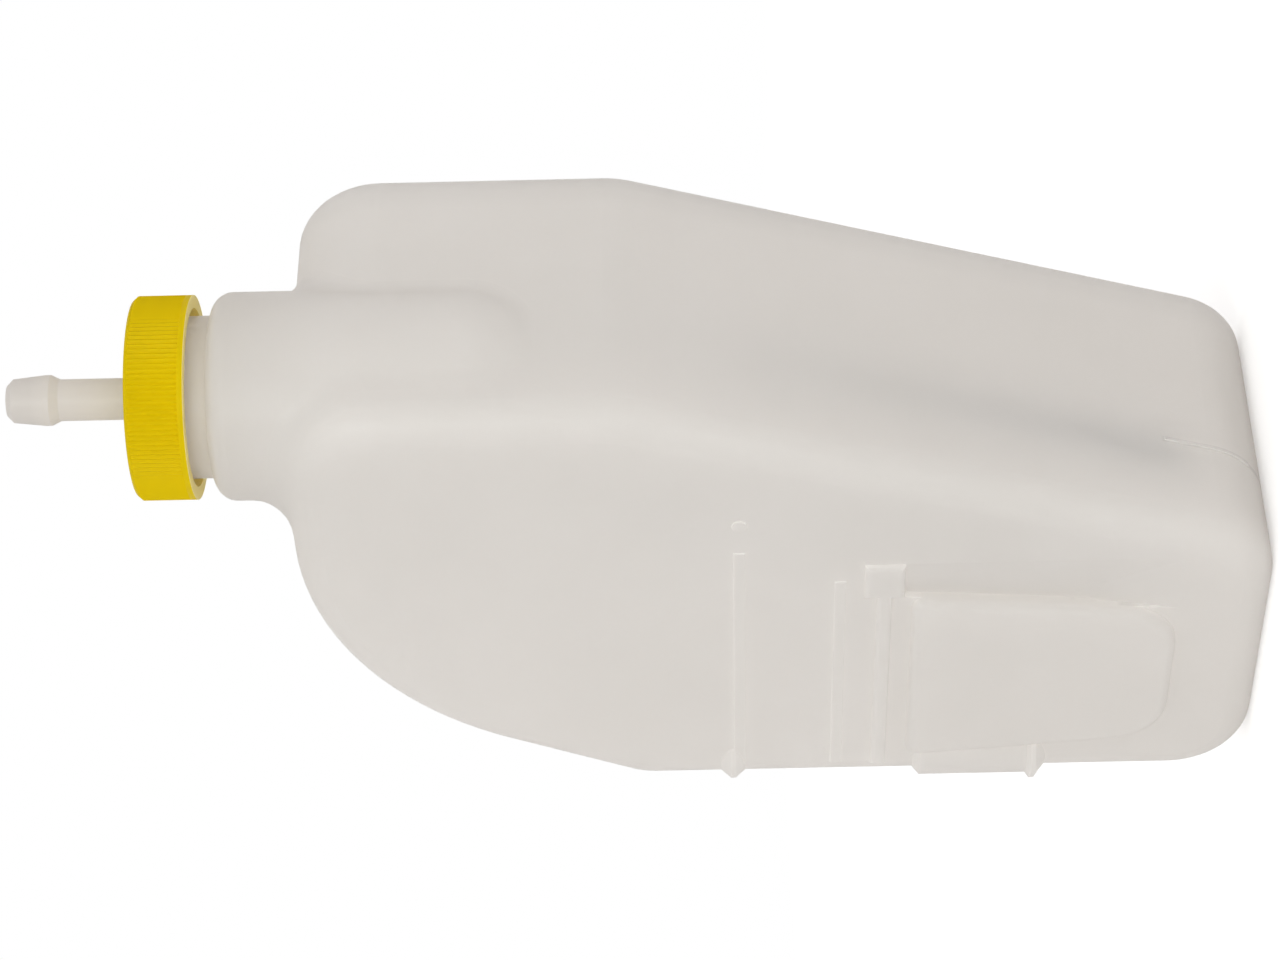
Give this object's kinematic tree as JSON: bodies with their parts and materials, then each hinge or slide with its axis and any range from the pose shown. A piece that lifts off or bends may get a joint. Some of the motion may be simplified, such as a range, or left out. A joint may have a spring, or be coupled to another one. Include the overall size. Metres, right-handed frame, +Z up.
{
  "type": "coolant expansion tank",
  "caption": "Tall translucent blow-moulded coolant expansion tank with a slanted side, an offset neck, a knurled screw cap with a hose barb through it, and a dip tube inside.",
  "frame": {"origin": "middle of the flat base across its width, on the mould's parting plane", "axes": "+Z up through the neck and the hose barb, -Y out of the front panel with the mounting pad, +X towards the slanted side and the neck"},
  "size_m": [0.1237, 0.074, 0.2548],
  "materials": {
    "tank_plastic": "satin natural polyethylene, translucent",
    "cap_plastic": "satin yellow moulded plastic",
    "nipple_plastic": "satin off-white moulded plastic",
    "seal_rubber": "matt black rubber",
    "tube_plastic": "satin dark flexible tube"
  },
  "bodies": {
    "tank": {"tank": "tank_plastic"},
    "cap_fitting": {"hose_nipple": "nipple_plastic", "cap_seal": "seal_rubber", "dip_tube": "tube_plastic"},
    "cap_ring": {"cap_ring": "cap_plastic"}
  },
  "joints": [
    {"name": "cap_lift", "type": "slide", "parent": "tank", "child": "cap_fitting", "axis": [0, 0, 1], "range_m": [0, 0.0049]},
    {"name": "cap_turn", "type": "hinge", "parent": "cap_fitting", "child": "cap_ring", "pos_m": [0.06275, 0, 0.2226], "axis": [0, 0, 1], "range_deg": [0, 540]}
  ],
  "couplings": [
    {"joint": "cap_lift", "follows": "cap_turn", "m_per_rad": 0.0005093}
  ]
}
